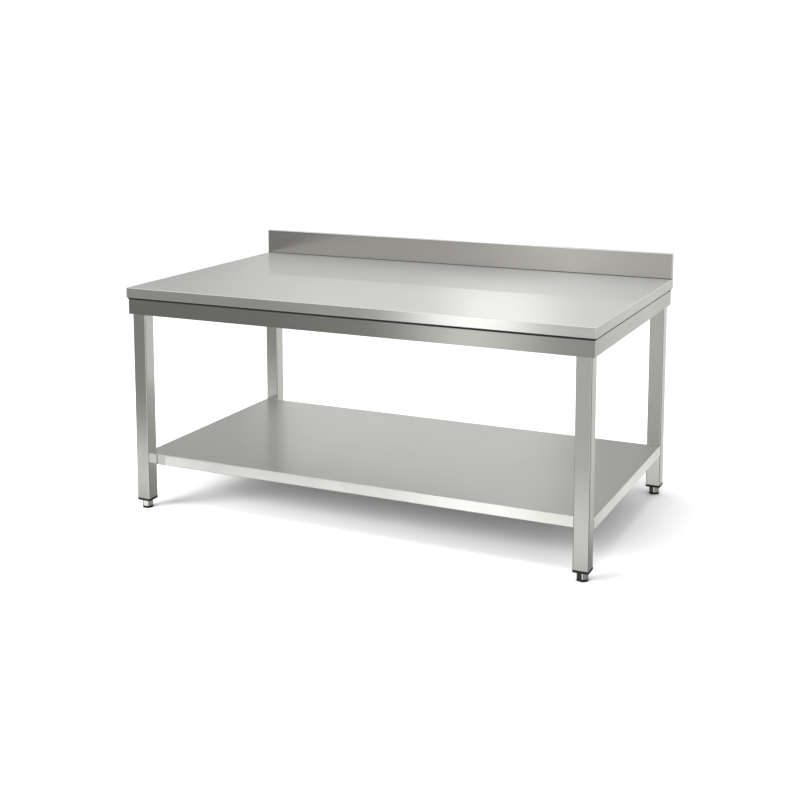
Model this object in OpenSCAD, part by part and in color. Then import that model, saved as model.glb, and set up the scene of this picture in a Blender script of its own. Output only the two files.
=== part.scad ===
// Stainless steel work table: a folded worktop with an upstand along its back
// edge, a recessed frame of folded bands, four square legs with adjustable feet,
// and a full-length lower shelf. The origin is on the floor under the middle of
// the table, +X runs right along its length and +Y runs to the back. Millimetres.

/* [Table] */
// Length of the worktop, left to right
table_l = 1800; // [1400:50:2000]
// Depth of the worktop, front to back
table_d = 1050; // [700:50:1200]
// Height of the work surface above the floor
work_h = 850; // [800:10:950]

/* [Worktop] */
// Thickness of the stainless sheet
sheet = 1.5; // [1.2:0.1:2]
// Depth of the turned-down lip around the worktop
lip_h = 38; // [30:1:45]
// Height of the upstand above the work surface
upstand_h = 100; // [40:10:150]
// Thickness of the folded upstand, front face to back face
upstand_t = 15; // [10:1:20]
// Thickness of the board bonded under the worktop
core_t = 18; // [12:1:20]

/* [Frame] */
// Distance from the work surface to the bottom of the frame bands
frame_drop = 100; // [90:1:120]
// Distance that the bands are set back from the worktop's edges
band_inset = 6; // [4:1:10]
// Width of the bands' folded flanges
band_flange = 25; // [20:1:30]
// Height of the cross rails' webs
rail_h = 60; // [40:1:65]
// Height of the sealing bead under the worktop's lips
seal_h = 7; // [4:1:8]

/* [Legs] */
// Outer width of the square leg tube
leg_w = 54; // [50:1:60]
// Wall thickness of the leg tube
leg_wall = 1.5; // [1.2:0.1:2]
// Outer corner radius of the leg tube
leg_r = 4; // [3:0.5:6]
// Distance from the worktop's edges to the legs' outer faces
leg_inset = 16; // [14:1:24]

/* [Shelf] */
// Height of the shelf's surface above the floor
shelf_h = 201; // [150:1:300]
// Depth of the shelf's turned-down lips
shelf_lip = 40; // [35:1:45]

/* [Feet] */
// Height of each foot pad
pad_h = 8; // [6:1:10]
// Height of the hexagonal collar above the pad
collar_h = 24; // [16:1:28]
// Width of the hexagonal collar across its flats
collar_af = 38; // [30:1:44]
// Thickness of the insert's flange under the leg tube
flange_t = 8; // [4:1:10]
// Distance that the flange stands out from the leg tube's faces
flange_out = 1; // [0:0.5:2]
// Diameter of the foot's threaded spindle
spindle_d = 10; // [8:1:12]
// Distance that each foot screws out from fully in
foot_travel = 30; // [10:5:35]

/* [Hidden] */
$fn = 48;
touch = 0.3;                          // gap between faces of pieces that move apart
through = 1;                          // how far a cut runs past the faces it goes through
running = 0.05;                       // radial clearance of a thread in its mating bore
hex = 6;                              // sides of nuts, bolt heads and foot collars

steel = [0.74, 0.75, 0.76];
bright = [0.82, 0.83, 0.84];
zinc = [0.62, 0.64, 0.66];
board = [0.72, 0.58, 0.40];
black = [0.06, 0.06, 0.065];
brass = [0.78, 0.62, 0.32];

half_l = table_l / 2;
half_d = table_d / 2;
core_top = work_h - sheet;
frame_top = core_top - core_t;
frame_bottom = work_h - frame_drop;
lip_bottom = work_h - lip_h;
hem_gap = 0.5;                        // gap from the lips' hems to the bands
hem_reach = band_inset - hem_gap;     // how far the hems reach in from the lips' outer faces
board_gap = 1;                        // gap from the board's edges to the sheet around them
seal_inset = 1;                       // from the lips' outer faces to the bead's
upstand_y = half_d - upstand_t;

band_x = half_l - band_inset;
band_y = half_d - band_inset;
web_x = band_x - sheet;
web_y = band_y - sheet;

leg_x = half_l - leg_inset - leg_w / 2;
leg_y = half_d - leg_inset - leg_w / 2;
leg_bottom = pad_h + collar_h + flange_t;
plate_t = 4;                          // thickness and width of the plate on each leg
plate_w = 100;
plate_edge = 1;                       // gap from the bands' webs to the leg plates
plate_x = web_x - plate_edge - plate_w / 2;
plate_y = web_y - plate_edge - plate_w / 2;
plate_bottom = frame_top - plate_t;
packer_t = web_x - leg_x - leg_w / 2;
packer_w = 36;
packer_h = 60;
packer_rise = 8;                      // from the bottom of the bands to the packers
packer_z = frame_bottom + packer_rise;

// Where the bands' flanges stop: clear of the leg plates and of the leg tubes
flange_clear = 4;
top_flange_x = plate_x - plate_w / 2 - flange_clear;
top_flange_y = plate_y - plate_w / 2 - flange_clear;
low_flange_x = leg_x - leg_w / 2 - flange_clear;
low_flange_y = leg_y - leg_w / 2 - flange_clear;
rail_share = 0.28;                    // of the table's length, from the middle rail to the others
rail_pitch = rail_share * table_l;

// The shelf fits between the facing sides of the front and rear legs
shelf_x = half_l - leg_inset;
shelf_y = leg_y - leg_w / 2;
shelf_hem = 12;
stiffener_w = 60;
stiffener_h = 25;
stiffener_foot = 15;
stiffener_y = shelf_y / 2;

// M6 fasteners
bolt_d = 6;
bolt_hole = 6.6;
head_af = 10;
head_h = 4;
nut_h = 5;
washer_d = 12;
washer_t = 1.6;
washer_hole = 6.4;
shelf_bolt_l = 14;
shelf_bolt_gap = 11;                  // from the leg's centre to each shelf bolt
shelf_bolt_z = shelf_h - shelf_lip / 2;
plate_bolt_l = 16;
threaded_insert_d = 10;
threaded_insert_l = 13;
plate_hole = 13;                      // from the plate's edges to its bolt holes

plug_gap = 0.1;                       // gap from the plug's sides to the tube's wall
plug_w = leg_w - 2 * (leg_wall + plug_gap);
plug_h = 30;
bush_d = 18;
bush_h = plug_h;
thread_kept = 8;                      // thread left in the tube when screwed out
spindle_top = leg_bottom + foot_travel + thread_kept;
pad_socket_d = 14;
pad_socket_h = 4;

// Each corner's name, its sides of the table, and the angle at which its foot
// happens to come to rest when screwed in
CORNERS = [
    ["front_left", -1, -1, 6],
    ["front_right", 1, -1, 46],
    ["rear_left", -1, 1, 20],
    ["rear_right", 1, 1, 44]
];
CORNER_PARTS = ["leg", "leg_plate", "leg_insert", "foot_bush", "foot_spindle", "foot_pad"];

// ---------- Shared shapes ----------

// A block given by its lowest and highest corners
module block(low, high) {
    translate(low)
        cube(high - low);
}

// Copies the children, which are drawn in the front left corner, to one corner
module in_corner(side_x, side_y) {
    mirror([side_x > 0 ? 1 : 0, 0, 0])
        mirror([0, side_y > 0 ? 1 : 0, 0])
            children();
}

module in_all_corners() {
    for (corner = CORNERS)
        in_corner(corner[1], corner[2])
            children();
}

module rounded_square(side, radius) {
    inner = side - 2 * radius;
    square([side, inner], center = true);
    square([inner, side], center = true);
    for (x = [-1, 1], y = [-1, 1])
        translate([x * inner / 2, y * inner / 2])
            circle(radius);
}

// A hexagon with two flats facing front and back
module hexagon(across_flats) {
    circle(across_flats / 2 / cos(180 / hex), $fn = hex);
}

// A hex-head bolt whose head sits on z = 0 and whose shank points up
module hex_bolt(length) {
    cylinder(h = length, d = bolt_d);
    translate([0, 0, -head_h])
        linear_extrude(head_h)
            hexagon(head_af);
}

module washer() {
    difference() {
        cylinder(h = washer_t, d = washer_d);
        translate([0, 0, -through])
            cylinder(h = washer_t + 2 * through, d = washer_hole);
    }
}

// Threads are drawn plain, at their outer diameter on a screw and with a
// running clearance in a nut
module hex_nut() {
    difference() {
        linear_extrude(nut_h)
            hexagon(head_af);
        translate([0, 0, -through])
            cylinder(h = nut_h + 2 * through, d = bolt_d + 2 * running);
    }
}

// ---------- Worktop ----------

// One folded and welded sheet: the work surface, four turned-down lips with
// small hems, and the hollow upstand, which is open below
module worktop() {
    color(steel)
        difference() {
            union() {
                block([-half_l, -half_d, lip_bottom], [half_l, half_d, work_h]);
                block([-half_l, upstand_y, lip_bottom], [half_l, half_d, work_h + upstand_h]);
            }
            block([-half_l + sheet, -half_d + sheet, lip_bottom + sheet],
                  [half_l - sheet, half_d - sheet, work_h - sheet]);
            block([-half_l + hem_reach, -half_d + hem_reach, lip_bottom - through],
                  [half_l - hem_reach, half_d - hem_reach, lip_bottom + 2 * sheet]);
            block([-half_l + sheet, upstand_y + sheet, work_h - 2 * sheet],
                  [half_l - sheet, half_d - sheet, work_h + upstand_h - sheet]);
        }
}

// The board that stiffens the worktop, drilled for the leg plates' inserts
module core_panel() {
    edge = sheet + board_gap;
    color(board)
        difference() {
            block([-half_l + edge, -half_d + edge, frame_top],
                  [half_l - edge, upstand_y - edge, core_top]);
            at_plate_bolts()
                translate([0, 0, frame_top - through])
                    cylinder(h = threaded_insert_l + through, d = threaded_insert_d);
        }
}

// ---------- Frame ----------

// A band along X: a web with a flange turned towards -Y at its top and bottom.
// The flanges are shorter than the web, to clear the leg plates and the legs.
module band(web_half, top_half, low_half) {
    block([-web_half, -sheet, frame_bottom], [web_half, 0, frame_top]);
    block([-top_half, -band_flange, frame_top - sheet], [top_half, -sheet, frame_top]);
    block([-low_half, -band_flange, frame_bottom],
          [low_half, -sheet, frame_bottom + sheet]);
}

module long_band(side_y) {
    color(steel)
        mirror([0, side_y > 0 ? 0 : 1, 0])
            translate([0, band_y, 0])
                band(band_x, top_flange_x, low_flange_x);
}

module side_band(side_x) {
    color(steel)
        mirror([side_x > 0 ? 0 : 1, 0, 0])
            translate([band_x, 0, 0])
                rotate([0, 0, -90])
                    band(web_y, top_flange_y, low_flange_y);
}

// A channel from band to band, notched to pass under the bands' top flanges
module cross_rail(x) {
    low = frame_top - rail_h;
    under_flange = frame_top - sheet;
    clear_y = band_y - band_flange - touch;
    color(steel)
        translate([x, 0, 0]) {
            block([0, -web_y, low], [sheet, web_y, under_flange]);
            block([0, -clear_y, low], [sheet, clear_y, frame_top]);
            block([0, -clear_y, frame_top - sheet], [band_flange, clear_y, frame_top]);
            block([0, -web_y, low], [band_flange, web_y, low + sheet]);
        }
}

// A black bead of sealant in the corner between the worktop's hems and the
// bands' webs, set back a little from the lips' outer faces
module lip_seal() {
    color(black)
        difference() {
            block([-half_l + seal_inset, -half_d + seal_inset, lip_bottom - seal_h],
                  [half_l - seal_inset, half_d - seal_inset, lip_bottom]);
            block([-band_x, -band_y, lip_bottom - seal_h - through],
                  [band_x, band_y, lip_bottom + through]);
        }
}

// Flat bars welded between the bands' webs and each leg's two outer faces
module band_packers() {
    color(steel)
        in_all_corners() {
            block([-web_x, -leg_y - packer_w / 2, packer_z],
                  [-web_x + packer_t, -leg_y + packer_w / 2, packer_z + packer_h]);
            block([-leg_x - packer_w / 2, -web_y, packer_z],
                  [-leg_x + packer_w / 2, -web_y + packer_t, packer_z + packer_h]);
        }
}

// ---------- Legs ----------

module leg(side_x, side_y) {
    color(bright)
        in_corner(side_x, side_y)
            difference() {
                translate([-leg_x, -leg_y, leg_bottom])
                    linear_extrude(plate_bottom - leg_bottom)
                        difference() {
                            rounded_square(leg_w, leg_r);
                            rounded_square(leg_w - 2 * leg_wall, leg_r - leg_wall);
                        }
                at_shelf_bolts()
                    translate([0, 0, -leg_wall - through])
                        cylinder(h = leg_wall + 2 * through, d = bolt_hole);
            }
}

// The plate welded on top of each leg, with a clearance hole at three corners
module leg_plate(side_x, side_y) {
    color(steel)
        in_corner(side_x, side_y)
            difference() {
                translate([-plate_x - plate_w / 2, -plate_y - plate_w / 2, plate_bottom])
                    cube([plate_w, plate_w, plate_t]);
                at_plate_holes()
                    translate([0, 0, plate_bottom - through])
                        cylinder(h = plate_t + 2 * through, d = bolt_hole);
            }
}

// The three holes in the front left leg plate that lie clear of the leg tube
module at_plate_holes() {
    reach = plate_w / 2 - plate_hole;
    for (side = [[1, -1], [1, 1], [-1, 1]])
        translate([-plate_x + side[0] * reach, -plate_y + side[1] * reach, 0])
            children();
}

module at_plate_bolts() {
    in_all_corners()
        at_plate_holes()
            children();
}

module plate_bolts() {
    color(zinc)
        at_plate_bolts()
            translate([0, 0, plate_bottom - washer_t])
                hex_bolt(plate_bolt_l);
}

module plate_washers() {
    color(zinc)
        at_plate_bolts()
            translate([0, 0, plate_bottom - washer_t])
                washer();
}

// Threaded inserts pressed into the board
module plate_threaded_inserts() {
    color(brass)
        at_plate_bolts()
            translate([0, 0, frame_top])
                difference() {
                    cylinder(h = threaded_insert_l, d = threaded_insert_d);
                    translate([0, 0, -through])
                        cylinder(h = threaded_insert_l + 2 * through,
                                 d = bolt_d + 2 * running);
                }
}

// ---------- Shelf ----------

// A folded tray: the shelf's surface and four turned-down lips with hems
module shelf() {
    low = shelf_h - shelf_lip;
    color(steel)
        difference() {
            block([-shelf_x, -shelf_y, low], [shelf_x, shelf_y, shelf_h]);
            block([-shelf_x + sheet, -shelf_y + sheet, low + sheet],
                  [shelf_x - sheet, shelf_y - sheet, shelf_h - sheet]);
            block([-shelf_x + shelf_hem, -shelf_y + shelf_hem, low - through],
                  [shelf_x - shelf_hem, shelf_y - shelf_hem, low + 2 * sheet]);
            in_all_corners()
                at_shelf_bolts()
                    translate([0, 0, -through])
                        cylinder(h = sheet + 2 * through, d = bolt_hole);
        }
}

// A hat section under the shelf, from side lip to side lip
module shelf_stiffener(side_y) {
    top = shelf_h - sheet;
    low = top - stiffener_h;
    half_w = stiffener_w / 2;
    length_half = shelf_x - sheet;
    color(steel)
        translate([0, side_y * stiffener_y, 0]) {
            block([-length_half, -half_w, low], [length_half, half_w, low + sheet]);
            for (side = [-1, 1])
                mirror([0, side > 0 ? 1 : 0, 0]) {
                    block([-length_half, -half_w, low], [length_half, -half_w + sheet, top]);
                    block([-length_half, -half_w - stiffener_foot, top - sheet],
                          [length_half, -half_w, top]);
                }
        }
}

// The front left leg's two shelf bolts: z = 0 is where the leg and the shelf's
// lip touch, and +Z points into the shelf
module at_shelf_bolts() {
    for (side = [-1, 1])
        translate([-leg_x + side * shelf_bolt_gap, -shelf_y, shelf_bolt_z])
            rotate([-90, 0, 0])
                children();
}

// Their heads are inside the shelf's lips and their shanks point into the legs
module shelf_bolts() {
    color(zinc)
        in_all_corners()
            at_shelf_bolts()
                translate([0, 0, sheet + washer_t])
                    mirror([0, 0, 1])
                        hex_bolt(shelf_bolt_l);
}

module shelf_washers() {
    color(zinc)
        in_all_corners()
            at_shelf_bolts()
                translate([0, 0, sheet])
                    washer();
}

// Nuts welded inside the legs
module shelf_nuts() {
    color(zinc)
        in_all_corners()
            at_shelf_bolts()
                translate([0, 0, -leg_wall - nut_h])
                    hex_nut();
}

// ---------- Feet ----------

module at_leg(side_x, side_y, turn = 0) {
    translate([side_x * leg_x, side_y * leg_y, 0])
        rotate([0, 0, turn])
            children();
}

// A moulded plug that closes the tube, with a flange a little wider than the leg
module leg_insert(side_x, side_y) {
    color(black)
        at_leg(side_x, side_y)
            difference() {
                union() {
                    translate([0, 0, leg_bottom - flange_t])
                        linear_extrude(flange_t)
                            rounded_square(leg_w + 2 * flange_out, leg_r + flange_out);
                    translate([0, 0, leg_bottom])
                        linear_extrude(plug_h - flange_t)
                            rounded_square(plug_w, leg_r - leg_wall);
                }
                translate([0, 0, leg_bottom - flange_t - through])
                    cylinder(h = plug_h + 2 * through, d = bush_d);
            }
}

// The threaded steel bush moulded into the plug
module foot_bush(side_x, side_y) {
    color(zinc)
        at_leg(side_x, side_y)
            translate([0, 0, leg_bottom - flange_t])
                difference() {
                    cylinder(h = bush_h, d = bush_d);
                    translate([0, 0, -through])
                        cylinder(h = bush_h + 2 * through, d = spindle_d + 2 * running);
                }
}

// The threaded spindle, its hexagonal collar and the stub that turns in the pad
module foot_spindle(side_x, side_y, turn) {
    stub_bottom = pad_h - pad_socket_h;
    color(bright)
        at_leg(side_x, side_y, turn) {
            translate([0, 0, pad_h])
                cylinder(h = spindle_top - pad_h, d = spindle_d);
            translate([0, 0, pad_h])
                linear_extrude(collar_h - touch)
                    hexagon(collar_af);
            translate([0, 0, stub_bottom + touch])
                cylinder(h = pad_socket_h, d = pad_socket_d - 2 * running);
        }
}

// The pad that stands on the floor
module foot_pad(side_x, side_y, turn) {
    color(black)
        at_leg(side_x, side_y, turn)
            difference() {
                linear_extrude(pad_h - touch)
                    hexagon(collar_af);
                translate([0, 0, pad_h - pad_socket_h])
                    cylinder(h = pad_socket_h + through, d = pad_socket_d);
            }
}

// ---------- Nodes ----------

worktop();
core_panel();
long_band(-1);  // front_band
long_band(1);  // rear_band
side_band(-1);  // left_band
side_band(1);  // right_band
cross_rail(-rail_pitch);  // left_cross_rail
cross_rail(0);  // centre_cross_rail
cross_rail(rail_pitch);  // right_cross_rail
band_packers();
lip_seal();
shelf();
shelf_stiffener(-1);  // front_shelf_stiffener
shelf_stiffener(1);  // rear_shelf_stiffener
shelf_bolts();
shelf_washers();
shelf_nuts();
plate_bolts();
plate_washers();
plate_threaded_inserts();
for (corner = CORNERS) {
    name = corner[0];
    side_x = corner[1];
    side_y = corner[2];
    turn = corner[3];
    leg(side_x, side_y);
    leg_plate(side_x, side_y);
    leg_insert(side_x, side_y);
    foot_bush(side_x, side_y);
    foot_spindle(side_x, side_y, turn);
    foot_pad(side_x, side_y, turn);
}
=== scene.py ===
"""Looks of the stainless work table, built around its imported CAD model.

Everything is in metres, in the CAD frame: +X runs right along the table, +Y to its upstand and +Z up.
"""

import math

import bmesh
import bpy
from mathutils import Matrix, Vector


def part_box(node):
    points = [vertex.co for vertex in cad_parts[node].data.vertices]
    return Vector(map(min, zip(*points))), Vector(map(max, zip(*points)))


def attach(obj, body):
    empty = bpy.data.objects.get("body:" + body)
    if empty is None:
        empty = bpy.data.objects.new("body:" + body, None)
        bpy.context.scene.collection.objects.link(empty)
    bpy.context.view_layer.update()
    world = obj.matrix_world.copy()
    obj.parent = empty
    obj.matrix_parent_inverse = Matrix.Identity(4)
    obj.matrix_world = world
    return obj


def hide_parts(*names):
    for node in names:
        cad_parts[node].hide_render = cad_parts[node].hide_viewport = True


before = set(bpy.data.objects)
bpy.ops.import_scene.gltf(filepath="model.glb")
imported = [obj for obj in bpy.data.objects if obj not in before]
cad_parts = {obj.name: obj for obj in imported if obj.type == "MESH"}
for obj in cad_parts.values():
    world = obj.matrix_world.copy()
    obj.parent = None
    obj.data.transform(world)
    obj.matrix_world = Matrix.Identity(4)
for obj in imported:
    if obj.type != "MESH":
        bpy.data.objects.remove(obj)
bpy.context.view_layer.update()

MM = 0.001
SHEET = 1.5 * MM             # thickness of the folded sheet
BEND = 2.6 * MM              # outer radius of its bends
BEND_STEPS = 4
UPSTAND_T = 15 * MM          # thickness of the upstand
UPSTAND_H = 100 * MM         # its height above the worktop
TOP_HEM = 5.5 * MM           # how far the worktop's hem reaches in from its lip's outer face
SHELF_HEM = 12 * MM          # the same for the shelf
BEAD_STEPS = 6               # flat strips across the face of the bead under the lips
BEAD_HOLLOW = 0.6            # how far the bead's face is from flat (0) to a quarter circle (1)

# The angle in degrees that each corner's foot stands at.
FOOT_TURN = {"front_left": 6, "front_right": 46, "rear_left": 20, "rear_right": 44}
FOOT_AF = 38 * MM            # width of the feet's hexagons across their flats
FOOT_GAP = 0.3 * MM          # between the collar and the insert above it
CORNER_EASE = 0.9 * MM       # how much is taken off the hexagons' corners
COLLAR_CHAMFER = 1.3 * MM
PAD_CHAMFER = 0.8 * MM
THREAD_R = 5 * MM            # an M10 thread
STUB_R = 6.95 * MM           # the pin under the collar, which turns in the pad
STUB_TIP_R = 4 * MM
STUB_TIP_H = 0.8 * MM        # height of the pin's tapered tip
STUB_COUNT = 48              # points round the pin
OVERLAP = 0.2 * MM           # how far the spindle's skins reach into each other

# Material slots of a folded sheet. Slot 0 is the flat sheet itself. The others hold lighter and darker
# copies
# of its steel: painted light on the lips, a painted highlight on the bends, painted shade on the upstand
# and a painted shadow line in the crease at the upstand's foot.
LIT_LIP, BEND_HIGHLIGHT, SHADED_UPSTAND, CREASE_SHADE = 1, 2, 3, 4


# ---------- Materials ----------

class Graph:
    """A material's node tree, with short ways to add and join nodes."""

    def __init__(self, name):
        self.material = bpy.data.materials.new(name)
        self.material.use_nodes = True
        self.tree = self.material.node_tree
        self.tree.nodes.clear()
        self.shader = self.add("ShaderNodeBsdfPrincipled")
        output = self.add("ShaderNodeOutputMaterial")
        self.join(self.shader.outputs["BSDF"], output.inputs["Surface"])

    def add(self, kind, **settings):
        node = self.tree.nodes.new(kind)
        for key, value in settings.items():
            setattr(node, key, value)
        return node

    def join(self, source, target):
        self.tree.links.new(source, target)

    def set(self, **values):
        """Uniform values, on the shader's own sockets: coat_weight=0.2 sets Coat Weight."""
        for key, value in values.items():
            self.shader.inputs[key.replace("_", " ").title().replace("Ior", "IOR")].default_value = value

    def place(self, scale):
        """Object coordinates, scaled along each axis."""
        coords = self.add("ShaderNodeTexCoord")
        mapping = self.add("ShaderNodeMapping")
        mapping.inputs["Scale"].default_value = scale
        self.join(coords.outputs["Object"], mapping.inputs["Vector"])
        return mapping.outputs["Vector"]

    def noise(self, scale, detail=4.0, rough=0.5, distortion=0.0):
        node = self.add("ShaderNodeTexNoise")
        node.inputs["Scale"].default_value = 1.0
        node.inputs["Detail"].default_value = detail
        node.inputs["Roughness"].default_value = rough
        node.inputs["Distortion"].default_value = distortion
        self.join(self.place(scale), node.inputs["Vector"])
        return node.outputs["Fac"]

    def spread(self, source, low, high, from_low=0.3, from_high=0.7):
        """Maps a value onto a range."""
        node = self.add("ShaderNodeMapRange")
        ends = {"From Min": from_low, "From Max": from_high, "To Min": low, "To Max": high}
        for key, value in ends.items():
            node.inputs[key].default_value = value
        self.join(source, node.inputs["Value"])
        return node.outputs["Result"]

    def ramp(self, source, stops):
        """Maps a value onto colours, given as (place, colour) pairs."""
        node = self.add("ShaderNodeValToRGB")
        elements = node.color_ramp.elements
        while len(elements) < len(stops):
            elements.new(0.5)
        for element, (place, colour) in zip(elements, stops):
            element.position = place
            element.color = (*colour, 1.0)
        self.join(source, node.inputs["Fac"])
        return node.outputs["Color"]

    def maths(self, kind, a, b):
        node = self.add("ShaderNodeMath", operation=kind)
        for socket, value in zip(node.inputs, (a, b)):
            if isinstance(value, (int, float)):
                socket.default_value = value
            else:
                self.join(value, socket)
        return node.outputs["Value"]

    def bump(self, source, strength, distance):
        node = self.add("ShaderNodeBump")
        node.inputs["Strength"].default_value = strength
        node.inputs["Distance"].default_value = distance
        self.join(source, node.inputs["Height"])
        self.join(node.outputs["Normal"], self.shader.inputs["Normal"])


def along(axis, length, width):
    """Texture scale for grain that runs along an axis: features this long and this wide, in metres."""
    return tuple(1 / length if name == axis else 1 / width for name in "XYZ")


def brushed_steel(name, colour, grain, low=0.16, high=0.21, coat=0.25, shine=0.03, depth=0.03, metal=1.0):
    """Stainless steel with a brushed grain along one axis, faint long streaks and wiped patches.

    A metal share under 1 gives the milky look of a finely ground surface.
    """
    g = Graph(name)
    fine = g.noise(along(grain, 0.05, 0.0005), detail=3.0, rough=0.6)
    streak = g.noise(along(grain, 0.6, 0.006), detail=3.0, rough=0.55)
    wiped = g.noise((3.1, 2.3, 2.7), detail=4.0, rough=0.55, distortion=0.6)
    dark = tuple(c * 0.98 for c in colour)
    grain_mix = g.maths("ADD", g.maths("MULTIPLY", fine, 0.45), g.maths("MULTIPLY", streak, 0.55))
    g.join(g.ramp(grain_mix, [(0.30, dark), (0.70, colour)]), g.shader.inputs["Base Color"])
    rough = g.maths("ADD", g.spread(grain_mix, low, high), g.spread(wiped, -0.025, 0.025))
    g.join(rough, g.shader.inputs["Roughness"])
    g.set(metallic=metal, coat_weight=coat, coat_roughness=shine, coat_ior=1.6)
    g.bump(grain_mix, depth, 0.00003)
    return g.material


def mill_steel(name, colour):
    """Hot-rolled plate as it leaves the mill: dull, cloudy, with weld tint in places."""
    g = Graph(name)
    cloud = g.noise((14.0, 14.0, 14.0), detail=6.0, rough=0.6)
    tint = (colour[0] * 0.80, colour[1] * 0.72, colour[2] * 0.60)
    g.join(g.ramp(cloud, [(0.35, tint), (0.55, colour)]), g.shader.inputs["Base Color"])
    g.join(g.spread(cloud, 0.38, 0.55), g.shader.inputs["Roughness"])
    g.set(metallic=1.0)
    g.bump(g.noise((900.0, 900.0, 900.0)), 0.2, 0.00004)
    return g.material


def turned_steel(name, colour, low=0.10, high=0.22):
    """Machined and polished steel, with the fine rings that a lathe leaves."""
    g = Graph(name)
    rings = g.noise((6.0, 6.0, 2500.0), detail=2.0)
    marks = g.noise((120.0, 120.0, 120.0), detail=5.0, rough=0.6)
    g.join(g.ramp(marks, [(0.3, tuple(c * 0.88 for c in colour)), (0.6, colour)]),
           g.shader.inputs["Base Color"])
    g.join(g.spread(rings, low, high), g.shader.inputs["Roughness"])
    g.set(metallic=1.0)
    g.bump(rings, 0.15, 0.00002)
    return g.material


def zinc_plate(name):
    g = Graph(name)
    cloud = g.noise((260.0, 260.0, 260.0), detail=5.0, rough=0.6)
    g.join(g.ramp(cloud, [(0.35, (0.46, 0.48, 0.50)), (0.65, (0.66, 0.68, 0.69))]),
           g.shader.inputs["Base Color"])
    g.join(g.spread(cloud, 0.26, 0.42), g.shader.inputs["Roughness"])
    g.set(metallic=1.0)
    g.bump(cloud, 0.15, 0.00003)
    return g.material


def brass(name):
    g = Graph(name)
    marks = g.noise((300.0, 300.0, 1200.0), detail=4.0)
    g.join(g.ramp(marks, [(0.3, (0.56, 0.40, 0.16)), (0.7, (0.80, 0.62, 0.30))]),
           g.shader.inputs["Base Color"])
    g.join(g.spread(marks, 0.22, 0.36), g.shader.inputs["Roughness"])
    g.set(metallic=1.0)
    return g.material


def moulded_plastic(name, colour):
    """Black moulded plastic with a fine spark-eroded texture and lightly scuffed."""
    g = Graph(name)
    grain = g.noise((1600.0, 1600.0, 1600.0), detail=2.0)
    scuff = g.noise((60.0, 60.0, 25.0), detail=6.0, rough=0.65)
    light = tuple(c * 1.7 + 0.004 for c in colour)
    g.join(g.ramp(scuff, [(0.45, colour), (0.75, light)]), g.shader.inputs["Base Color"])
    g.join(g.spread(scuff, 0.36, 0.52), g.shader.inputs["Roughness"])
    g.set(specular_ior_level=0.3)
    g.bump(grain, 0.30, 0.00005)
    return g.material


def sealed_chipboard(name):
    """Chipboard seen from below: flattened chips that show faintly through a pale grey sealer."""
    g = Graph(name)
    chips = g.add("ShaderNodeTexVoronoi")
    chips.inputs["Scale"].default_value = 1.0
    chips.inputs["Randomness"].default_value = 1.0
    g.join(g.place((110.0, 170.0, 900.0)), chips.inputs["Vector"])
    fibre = g.noise((60.0, 420.0, 900.0), detail=5.0)
    mixed = g.maths("ADD", g.maths("MULTIPLY", chips.outputs["Color"], 0.6),
                    g.maths("MULTIPLY", fibre, 0.4))
    greys = [(0.25, (0.46, 0.45, 0.42)), (0.50, (0.56, 0.55, 0.52)), (0.80, (0.64, 0.63, 0.61))]
    g.join(g.ramp(mixed, greys), g.shader.inputs["Base Color"])
    g.join(g.spread(fibre, 0.50, 0.70), g.shader.inputs["Roughness"])
    g.bump(mixed, 0.35, 0.0002)
    return g.material


# The bands and the shelf's stiffeners take a darker copy of the tubes' steel: painted shade, as under the
# worktop's lip.
SHADED_BAND = (0.415, 0.423, 0.395)
TUBE = (0.61, 0.61, 0.595)
top_steel = brushed_steel("top_steel", (0.56, 0.56, 0.55), "X", low=0.34, high=0.40, coat=0.40,
                          shine=0.02, metal=0.78)
# A darker copy of the sheet's steel for the upstand: painted shade.
shaded_upstand_steel = brushed_steel("shaded_upstand_steel", (0.505, 0.495, 0.47), "X", low=0.18, high=0.24)
# A near-white copy of the sheet's steel for the round bends: a painted highlight along each bend.
bend_highlight_steel = brushed_steel("bend_highlight_steel", (0.93, 0.93, 0.915), "X", low=0.16, high=0.22)
# A near-black copy of the sheet's steel for the crease at the upstand's foot: a painted shadow line.
crease_shade_steel = brushed_steel("crease_shade_steel", (0.16, 0.155, 0.15), "X", low=0.35, high=0.50, coat=0.0)
# A lighter copy of the sheet's steel for the lips: painted light.
lit_lip_steel = brushed_steel("lit_lip_steel", (0.80, 0.80, 0.785), "X", low=0.14, high=0.18)
shelf_steel = brushed_steel("shelf_steel", (0.60, 0.60, 0.59), "X", low=0.30, high=0.37, coat=0.25)
shaded_front_steel = brushed_steel("shaded_front_steel", SHADED_BAND, "X")
shaded_side_steel = brushed_steel("shaded_side_steel", SHADED_BAND, "Y")
tube_steel = brushed_steel("tube_steel", TUBE, "Z")
plate_steel = mill_steel("plate_steel", (0.50, 0.50, 0.49))
collar_steel = turned_steel("collar_steel", (0.70, 0.71, 0.71), low=0.05, high=0.12)
zinc = zinc_plate("zinc")
insert_brass = brass("insert_brass")
black_plastic = moulded_plastic("black_plastic", (0.006, 0.006, 0.0065))
sealant = moulded_plastic("sealant", (0.008, 0.008, 0.0085))
board = sealed_chipboard("board")


# ---------- Shared mesh work ----------

def new_object(name, bm, material, sharp_angle=35.0):
    mesh = bpy.data.meshes.new(name)
    bm.to_mesh(mesh)
    bm.free()
    mesh.shade_smooth()
    mesh.set_sharp_from_angle(angle=math.radians(sharp_angle))
    piece = bpy.data.objects.new(name, mesh)
    bpy.context.scene.collection.objects.link(piece)
    mesh.materials.append(material)
    return piece


def modify(piece, kind, **settings):
    modifier = piece.modifiers.new(kind.lower(), kind)
    for key, value in settings.items():
        setattr(modifier, key, value)
    return modifier


def stand_for(piece, node, body="table"):
    """The piece rides with its body and is shown instead of its CAD node, which is hidden."""
    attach(piece, body)
    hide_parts(node)
    return piece


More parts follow.
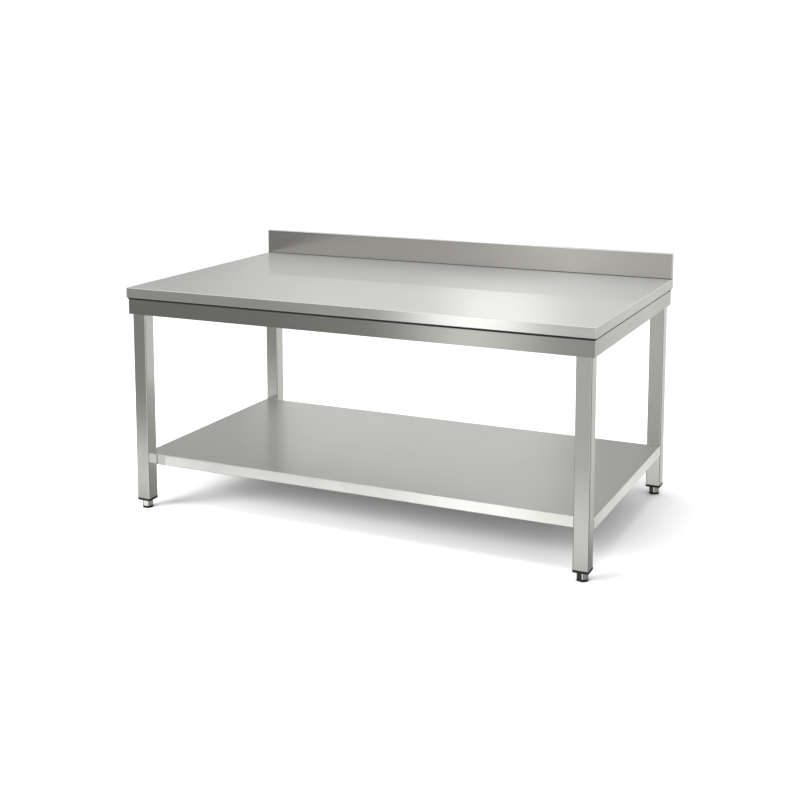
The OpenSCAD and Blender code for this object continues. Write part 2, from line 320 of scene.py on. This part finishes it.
def folded_sheet(name, panels, material, lip_top):
    """Flat panels that share edges, as one folded sheet with round bends.

    The panels lie on the sheet's outer side. The first panel's corners run anticlockwise seen from
    outside, and the sheet's thickness goes inwards. Upright faces below lip_top are lips, which take a
    lighter copy of the steel as painted light, and the round bends take a near-white copy as a painted
    highlight.
    """
    bm = bmesh.new()
    for panel in panels:
        bm.faces.new([bm.verts.new(corner) for corner in panel])
    bmesh.ops.remove_doubles(bm, verts=bm.verts, dist=0.01 * MM)
    bm.faces.ensure_lookup_table()
    bm.normal_update()
    wanted = bm.faces[0].normal.copy()
    bmesh.ops.recalc_face_normals(bm, faces=bm.faces)
    if bm.faces[0].normal.dot(wanted) < 0:
        bmesh.ops.reverse_faces(bm, faces=bm.faces)
    folds = [edge for edge in bm.edges if len(edge.link_faces) == 2]
    bends = bmesh.ops.bevel(bm, geom=folds, offset=BEND, offset_type="OFFSET", segments=BEND_STEPS,
                            profile=0.5, affect="EDGES", clamp_overlap=True, miter_outer="ARC")
    # Upright faces below lip_top take a lighter copy of the steel: painted light on the lips.
    for face in bm.faces:
        if abs(face.normal.z) < 0.9 and face.calc_center_median().z < lip_top:
            face.material_index = LIT_LIP
    # The round bends take a near-white copy of the steel: a painted highlight along each bend.
    for face in bends["faces"]:
        face.material_index = BEND_HIGHLIGHT
    piece = new_object(name, bm, material)
    piece.data.materials.append(lit_lip_steel)
    piece.data.materials.append(bend_highlight_steel)
    modify(piece, "SOLIDIFY", thickness=SHEET, offset=-1.0, use_even_offset=True)
    modify(piece, "WEIGHTED_NORMAL", keep_sharp=True, weight=80)
    return piece


def rectangle(low, high):
    """The corners of a flat rectangle given by two opposite corners, at the height of the first."""
    return [(low[0], low[1], low[2]), (high[0], low[1], low[2]),
            (high[0], high[1], low[2]), (low[0], high[1], low[2])]


def frame_panels(outer, inner):
    """Four mitred panels between an outer and an inner rectangle."""
    return [[outer[i], outer[(i + 1) % 4], inner[(i + 1) % 4], inner[i]] for i in range(4)]


def soften(piece, width, steps=2):
    """Small round edges on a CAD node or a piece."""
    modify(piece, "WELD", merge_threshold=0.001 * MM)
    modify(piece, "BEVEL", width=width, segments=steps, limit_method="ANGLE",
           angle_limit=math.radians(40), harden_normals=True)


# ---------- Worktop and shelf ----------

def make_worktop():
    """The worktop with its lips, its hems and its hollow upstand, as one folded sheet."""
    low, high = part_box("worktop")
    surface = high.z - UPSTAND_H
    front = high.y - UPSTAND_T
    lip = rectangle((low.x, low.y, low.z), (high.x, high.y, low.z))
    hem = rectangle((low.x + TOP_HEM, low.y + TOP_HEM, low.z), (high.x - TOP_HEM, high.y - TOP_HEM, low.z))
    outline = [(low.y, low.z), (low.y, surface), (front, surface), (front, high.z),
               (high.y, high.z), (high.y, low.z)]
    panels = [rectangle((low.x, low.y, surface), (high.x, front, surface))]
    for (y0, z0), (y1, z1) in zip(outline, outline[1:]):
        if z0 == z1 == surface:
            continue
        panels.append([(low.x, y0, z0), (high.x, y0, z0), (high.x, y1, z1), (low.x, y1, z1)])
    for x in (low.x, high.x):
        panels.append([(x, y, z) for y, z in outline])
    panels += frame_panels(lip, hem)
    sheet = folded_sheet("worktop_sheet", panels, top_steel, surface)
    sheet.data.materials.append(shaded_upstand_steel)
    sheet.data.materials.append(crease_shade_steel)
    # The upstand takes a darker copy of the steel: painted shade.
    for polygon in sheet.data.polygons:
        if polygon.material_index == 0 and polygon.center.z > surface + BEND:
            polygon.material_index = SHADED_UPSTAND
        # The crease at the upstand's foot takes a near-black copy of the steel: a painted shadow line.
        if abs(polygon.center.y - front) < BEND and abs(polygon.center.z - surface) < BEND:
            polygon.material_index = CREASE_SHADE
    return stand_for(sheet, "worktop")


def make_shelf():
    """The shelf as a tray turned upside down, with hems."""
    low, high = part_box("shelf")
    top = rectangle((low.x, low.y, high.z), (high.x, high.y, high.z))
    bottom = rectangle((low.x, low.y, low.z), (high.x, high.y, low.z))
    hem = rectangle((low.x + SHELF_HEM, low.y + SHELF_HEM, low.z),
                    (high.x - SHELF_HEM, high.y - SHELF_HEM, low.z))
    panels = [top] + frame_panels(top, bottom) + frame_panels(bottom, hem)
    return stand_for(folded_sheet("shelf_tray", panels, shelf_steel, high.z), "shelf")


def make_lip_bead():
    """A near-black bead under the worktop's lips, with a hollowed face, which makes a dark line below them.
    """
    low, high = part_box("lip_seal")
    reach = high.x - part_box("right_band")[1].x
    drop = high.z - low.z
    profile = [(0.0, 0.0)]
    for i in range(BEAD_STEPS + 1):
        share = i / BEAD_STEPS
        turn = math.pi / 2 * share
        out = reach * (1 - BEAD_HOLLOW * math.sin(turn) - (1 - BEAD_HOLLOW) * share)
        down = drop * (1 - BEAD_HOLLOW * math.cos(turn) - (1 - BEAD_HOLLOW) * (1 - share))
        profile.append((out, down))
    bm = bmesh.new()
    rings = []
    for out, down in profile:
        inset = reach - out
        corners = rectangle((low.x + inset, low.y + inset, high.z - down),
                            (high.x - inset, high.y - inset))
        rings.append([bm.verts.new(corner) for corner in corners])
    for upper, lower in zip(rings, rings[1:] + rings[:1]):
        for i in range(4):
            j = (i + 1) % 4
            bm.faces.new((lower[i], lower[j], upper[j], upper[i]))
    return stand_for(new_object("sealant_bead", bm, sealant), "lip_seal")


# ---------- Feet ----------

def ring(bm, radii, z, centre, turn=0.0):
    """A closed ring of points, one for each radius, evenly round the centre from an angle."""
    count = len(radii)
    points = []
    for i, radius in enumerate(radii):
        angle = turn + 2 * math.pi * i / count
        points.append(bm.verts.new((centre[0] + radius * math.cos(angle),
                                    centre[1] + radius * math.sin(angle), z)))
    return points


def skin(bm, rings):
    """Closes rings of the same count into a solid skin with flat ends."""
    count = len(rings[0])
    for lower, upper in zip(rings, rings[1:]):
        for i in range(count):
            j = (i + 1) % count
            bm.faces.new((lower[i], lower[j], upper[j], upper[i]))
    bm.faces.new(list(reversed(rings[0])))
    bm.faces.new(rings[-1])


def hexagon_radii(across_flats, count=120):
    """How far a hexagon reaches in each direction, starting from a corner."""
    radii = []
    for i in range(count):
        from_corner = 360 * i / count % 60
        radii.append(across_flats / 2 / math.cos(math.radians(from_corner - 30)))
    return radii


def chamfered_hexagon(bm, across_flats, z0, z1, centre, turn, chamfer, steps=5):
    """A hexagonal prism with eased corners that are turned off at both ends, as on a nut."""
    flats = hexagon_radii(across_flats)
    corner = max(flats) - CORNER_EASE
    inner = across_flats / 2 * 0.96
    levels = []
    for i in range(steps + 1):
        share = i / steps
        levels.append((share * chamfer, inner + (corner - inner) * math.sin(share * math.pi / 2)))
    rings = []
    for rise, limit in levels:
        rings.append(ring(bm, [min(radius, limit) for radius in flats], z0 + rise, centre, turn))
    for rise, limit in reversed(levels):
        rings.append(ring(bm, [min(radius, limit) for radius in flats], z1 - rise, centre, turn))
    skin(bm, rings)


def thread(bm, radius, z0, z1, centre, pitch=1.5 * MM, depth=0.9 * MM, count=24, per_turn=6):
    """A threaded rod: a cylinder whose radius follows a right-hand helix, chamfered at its top."""
    rows = int((z1 - z0) / pitch * per_turn)
    rings = []
    for row in range(rows + 1):
        z = z0 + (z1 - z0) * row / rows
        end = min(1.0, (z1 - z) / (1.2 * MM))
        radii = []
        for i in range(count):
            phase = ((z / pitch) - i / count) % 1.0
            groove = 1.0 - abs(2 * phase - 1)
            radii.append(radius - depth * max(groove, 1.0 - end))
        rings.append(ring(bm, radii, z, centre))
    skin(bm, rings)


def make_foot(corner):
    """A threaded spindle with its hexagonal collar, and the hexagonal pad that it turns in."""
    low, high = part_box(corner + "_foot_spindle")
    pad_low, pad_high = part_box(corner + "_foot_pad")
    centre = ((low.x + high.x) / 2, (low.y + high.y) / 2)
    turn = math.radians(FOOT_TURN[corner])
    pad_top = pad_high.z
    collar_bottom = pad_top + FOOT_GAP
    collar_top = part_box(corner + "_leg_insert")[0].z - FOOT_GAP

    bm = bmesh.new()
    chamfered_hexagon(bm, FOOT_AF, collar_bottom, collar_top, centre, turn, COLLAR_CHAMFER)
    thread(bm, THREAD_R, collar_top - OVERLAP, high.z, centre)
    stub = [(STUB_TIP_R, low.z), (STUB_R, low.z + STUB_TIP_H), (STUB_R, collar_bottom + OVERLAP)]
    skin(bm, [ring(bm, [radius] * STUB_COUNT, z, centre) for radius, z in stub])
    spindle = new_object(corner + "_threaded_foot", bm, collar_steel, sharp_angle=20)
    modify(spindle, "WEIGHTED_NORMAL", keep_sharp=True)
    stand_for(spindle, corner + "_foot_spindle", corner + "_spindle")

    bm = bmesh.new()
    chamfered_hexagon(bm, FOOT_AF, pad_low.z, pad_top, centre, turn, PAD_CHAMFER)
    pad = new_object(corner + "_pad", bm, black_plastic, sharp_angle=20)
    modify(pad, "WEIGHTED_NORMAL", keep_sharp=True)
    stand_for(pad, corner + "_foot_pad", corner + "_pad")


# ---------- CAD nodes that stay ----------

def dress(node, material, edge=0.0):
    """Gives a CAD node its material and, where asked, small round edges."""
    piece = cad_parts[node]
    piece.data.materials.clear()
    piece.data.materials.append(material)
    if edge:
        soften(piece, edge)


make_worktop()
make_lip_bead()
make_shelf()
for corner in FOOT_TURN:
    make_foot(corner)
    dress(corner + "_leg", tube_steel)
    dress(corner + "_leg_plate", plate_steel, 0.5 * MM)
    dress(corner + "_leg_insert", black_plastic, 0.8 * MM)
    dress(corner + "_foot_bush", zinc, 0.3 * MM)
dress("core_panel", board, 0.4 * MM)
# Bands and stiffeners get the darker copy of the steel: painted shade.
for node in ("front_band", "rear_band"):
    dress(node, shaded_front_steel, 0.5 * MM)
for node in ("left_band", "right_band", "left_cross_rail", "centre_cross_rail", "right_cross_rail"):
    dress(node, shaded_side_steel, 0.5 * MM)
for node in ("front_shelf_stiffener", "rear_shelf_stiffener"):
    dress(node, shaded_front_steel, 0.5 * MM)
dress("band_packers", plate_steel, 0.5 * MM)
for node in ("shelf_bolts", "shelf_washers", "shelf_nuts", "plate_bolts", "plate_washers"):
    dress(node, zinc, 0.3 * MM)
dress("plate_threaded_inserts", insert_brass, 0.3 * MM)


# ---------- Floor, light and camera ----------

REFLECTION_WARMTH = 0.97     # how much blue the reflected room keeps
LENS = 58.0                  # mm, on a sensor 36 mm wide
CAMERA_PLACE = (2.005, -4.387, 1.648)
CAMERA_DOWN = 7.48           # degrees below level
CAMERA_LEFT = 24.79          # degrees to the left of straight ahead
CAMERA_SHIFT = -0.2          # keeps the uprights nearly parallel


def make_floor():
    g = Graph("floor_paint")
    cloud = g.noise((0.7, 0.7, 0.7), detail=3.0)
    g.join(g.ramp(cloud, [(0.3, (0.90, 0.90, 0.90)), (0.7, (0.93, 0.93, 0.93))]),
           g.shader.inputs["Base Color"])
    g.set(roughness=0.9)
    bm = bmesh.new()
    half = 30.0
    bm.faces.new([bm.verts.new(corner) for corner in rectangle((-half, -half, 0.0), (half, half, 0.0))])
    floor = new_object("studio_floor", bm, g.material)
    floor.visible_glossy = False


def make_world():
    """A white studio. What the metal mirrors of it is greyer, and darker below the horizon."""
    world = bpy.data.worlds.new("studio")
    bpy.context.scene.world = world
    world.use_nodes = True
    nodes = world.node_tree.nodes
    links = world.node_tree.links
    path = nodes.new("ShaderNodeLightPath")
    coords = nodes.new("ShaderNodeTexCoord")
    parts = nodes.new("ShaderNodeSeparateXYZ")
    links.new(coords.outputs["Generated"], parts.inputs["Vector"])
    mirrored = nodes.new("ShaderNodeMapRange")
    for key, value in {"From Min": -0.25, "From Max": 0.1, "To Min": 0.30, "To Max": 0.80}.items():
        mirrored.inputs[key].default_value = value
    links.new(parts.outputs["Z"], mirrored.inputs["Value"])
    strength = nodes.new("ShaderNodeMapRange")
    strength.inputs["To Min"].default_value = 1.15
    links.new(mirrored.outputs["Result"], strength.inputs["To Max"])
    links.new(path.outputs["Is Glossy Ray"], strength.inputs["Value"])
    background = nodes["Background"]
    background.inputs["Color"].default_value = (1.0, 1.0, 1.0, 1.0)
    links.new(strength.outputs["Result"], background.inputs["Strength"])


def hide_from_all_but_mirrors(piece):
    piece.visible_camera = False
    piece.visible_diffuse = False
    piece.visible_shadow = False
    piece.visible_transmission = False


def soft_step(low, high, value):
    """Rises from 0 at low to 1 at high, with soft ends."""
    t = min(max((value - low) / (high - low), 0.0), 1.0)
    return t * t * (3.0 - 2.0 * t)


def soft_span(span, blur, value):
    """1 inside the span, falling to 0 over the blur on either side of it."""
    return soft_step(span[0] - blur, span[0], value) * (1.0 - soft_step(span[1], span[1] + blur, value))


def studio_wall(name, y, span_x, span_z, step, shade, panels):
    """An upright wall that only shows in the metal.

    shade gives the bare wall's brightness at an X and a Z. Each panel is a soft-edged light on the wall:
    its span in X, its span in Z, its blur and its brightness.
    """
    g = Graph(name)
    g.shader.inputs["Base Color"].default_value = (0.0, 0.0, 0.0, 1.0)
    g.set(specular_ior_level=0.0, emission_strength=1.0)
    glow = g.add("ShaderNodeAttribute", attribute_name="glow")
    g.join(glow.outputs["Color"], g.shader.inputs["Emission Color"])
    bm = bmesh.new()
    layer = bm.verts.layers.float_color.new("glow")
    columns = round((span_x[1] - span_x[0]) / step)
    rows = round((span_z[1] - span_z[0]) / step)
    grid = []
    for i in range(columns + 1):
        x = span_x[0] + i * step
        grid.append([])
        for j in range(rows + 1):
            z = span_z[0] + j * step
            value = shade(x, z)
            for panel_x, panel_z, blur, brightness in panels:
                value += (brightness - value) * soft_span(panel_x, blur, x) * soft_span(panel_z, blur, z)
            vert = bm.verts.new((x, y, z))
            vert[layer] = (value, value, value * REFLECTION_WARMTH, 1.0)
            grid[-1].append(vert)
    for left, right in zip(grid, grid[1:]):
        for j in range(rows):
            bm.faces.new((left[j], right[j], right[j + 1], left[j + 1]))
    wall = new_object(name, bm, g.material)
    hide_from_all_but_mirrors(wall)


LEFT, RIGHT = -6.0, 4.5      # ends of the studio's walls
BOTTOM, TOP = -2.6, 3.4      # the metal also mirrors the walls below the floor's level


def front_shade(x, z):
    """Dark at the bottom, and lighter to the right and upwards."""
    return (0.3 + 0.3 * soft_step(-3.0, 1.0, x) + 0.3 * soft_step(0.3, 1.6, z)) * soft_step(BOTTOM, -1.2, z)


def rear_shade(x, z):
    """Lighter upwards, and darker at the far left."""
    return (0.2 + 0.5 * soft_step(BOTTOM, 0.3, z)) * (0.4 + 0.6 * soft_step(-4.0, -2.4, x))


def low_shade(x, z):
    """The same grey all over."""
    return 0.5


def make_studio():
    """The room that the metal mirrors: plain shaded walls with a few soft light panels."""
    studio_wall("front_wall", -4.5, (LEFT, RIGHT), (BOTTOM, TOP), 0.1, front_shade, [
        ((LEFT, RIGHT), (-1.5, -1.3), 0.3, 1.2),        # a low strip along the whole wall
        ((-1.2, -1.0), (-1.5, TOP), 0.5, 1.5),          # an upright strip
        ((1.4, 2.6), (-1.8, 0.5), 0.4, 1.3),            # a wide panel on the right
    ])
    studio_wall("rear_wall", 4.0, (LEFT, RIGHT), (BOTTOM, TOP), 0.1, rear_shade, [
        ((-1.2, -1.0), (1.0, TOP), 0.5, 1.4),           # an upright strip
        ((1.8, 2.1), (-1.5, 0.5), 0.2, 1.0),            # a small panel on the right
    ])
    # A low screen behind the table, which the shelf mirrors.
    studio_wall("low_wall", 0.8, (-2.2, 0.9), (0.05, 0.75), 0.05, low_shade, [
        ((-0.9, 0.2), (0.05, 0.75), 0.4, 0.8),
    ])


def softbox(name, place, aim, width, height, power):
    lamp = bpy.data.lights.new(name, "AREA")
    lamp.shape = "RECTANGLE"
    lamp.size = width
    lamp.size_y = height
    lamp.energy = power
    box = bpy.data.objects.new(name, lamp)
    bpy.context.scene.collection.objects.link(box)
    box.location = place
    box.rotation_euler = (Vector(aim) - Vector(place)).to_track_quat("-Z", "Y").to_euler()
    box.visible_glossy = False


def make_camera():
    lens_data = bpy.data.cameras.new("camera")
    lens_data.sensor_width = 36.0
    lens_data.lens = LENS
    lens_data.shift_y = CAMERA_SHIFT
    lens_data.clip_end = 100.0
    camera = bpy.data.objects.new("camera", lens_data)
    bpy.context.scene.collection.objects.link(camera)
    camera.location = CAMERA_PLACE
    camera.rotation_euler = (math.radians(90 - CAMERA_DOWN), 0.0, math.radians(CAMERA_LEFT))
    bpy.context.scene.camera = camera


make_floor()
make_world()
make_studio()
softbox("overhead", (0.0, -0.6, 3.6), (0.0, 0.0, 0.5), 3.2, 2.6, 90)
softbox("front_left", (-3.4, -4.2, 2.4), (0.2, 0.2, 0.0), 3.0, 2.0, 420)
make_camera()
bpy.context.scene.view_settings.view_transform = "Standard"
